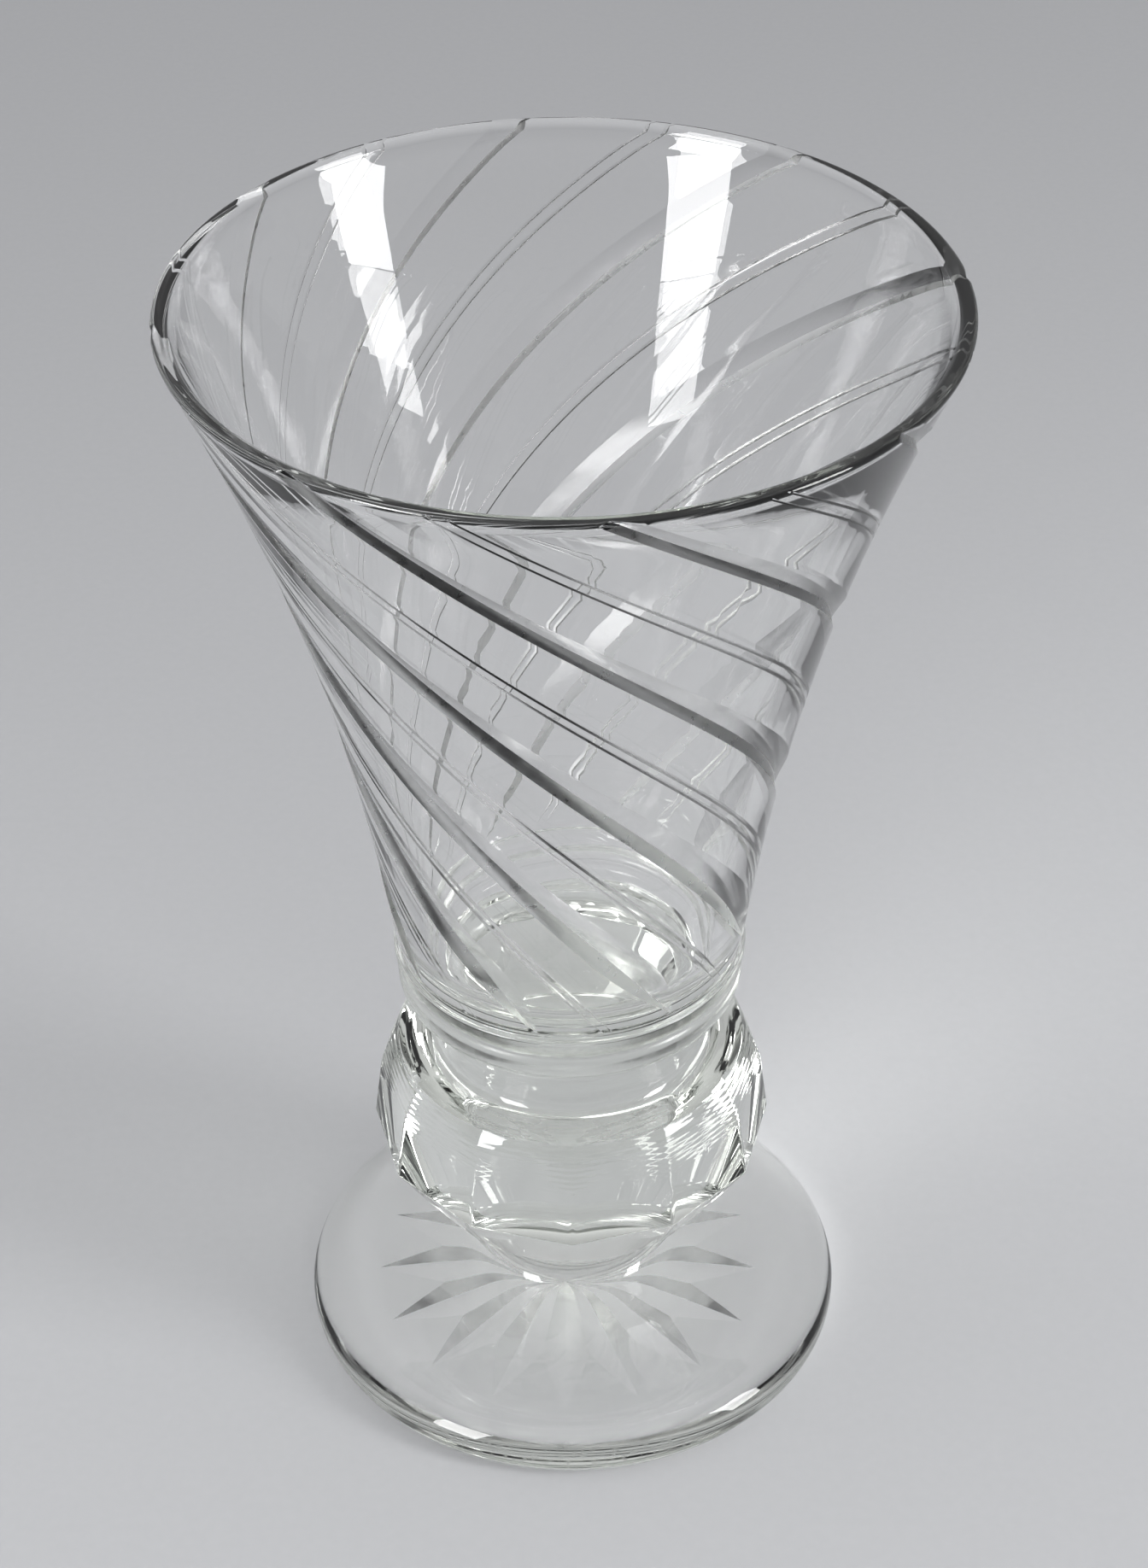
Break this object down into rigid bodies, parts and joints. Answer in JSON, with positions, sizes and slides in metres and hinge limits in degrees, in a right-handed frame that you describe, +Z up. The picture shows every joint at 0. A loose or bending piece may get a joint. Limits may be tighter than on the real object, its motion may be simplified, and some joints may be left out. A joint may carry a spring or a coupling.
{
  "type": "glass vase",
  "caption": "Footed cut-glass flower vase: flared trumpet bowl with spiral mitre cuts, faceted solid knop, short stem and round foot with a star cut underneath.",
  "frame": {"origin": "middle of the foot's underside, at the level of the table", "axes": "+Z up along the vase's axis of revolution, -Y towards the viewer of the picture"},
  "size_m": [0.1508, 0.1508, 0.254],
  "materials": {
    "foot_glass": "clear polished crystal, faint grey-green in the thick edge, ground resting ring",
    "stem_glass": "clear polished crystal",
    "knop_glass": "clear polished crystal, flat cut panels",
    "bowl_glass": "clear polished crystal with polished spiral cuts"
  },
  "bodies": {
    "root": {"foot": "foot_glass", "stem": "stem_glass", "knop": "knop_glass", "bowl": "bowl_glass"}
  },
  "joints": []
}
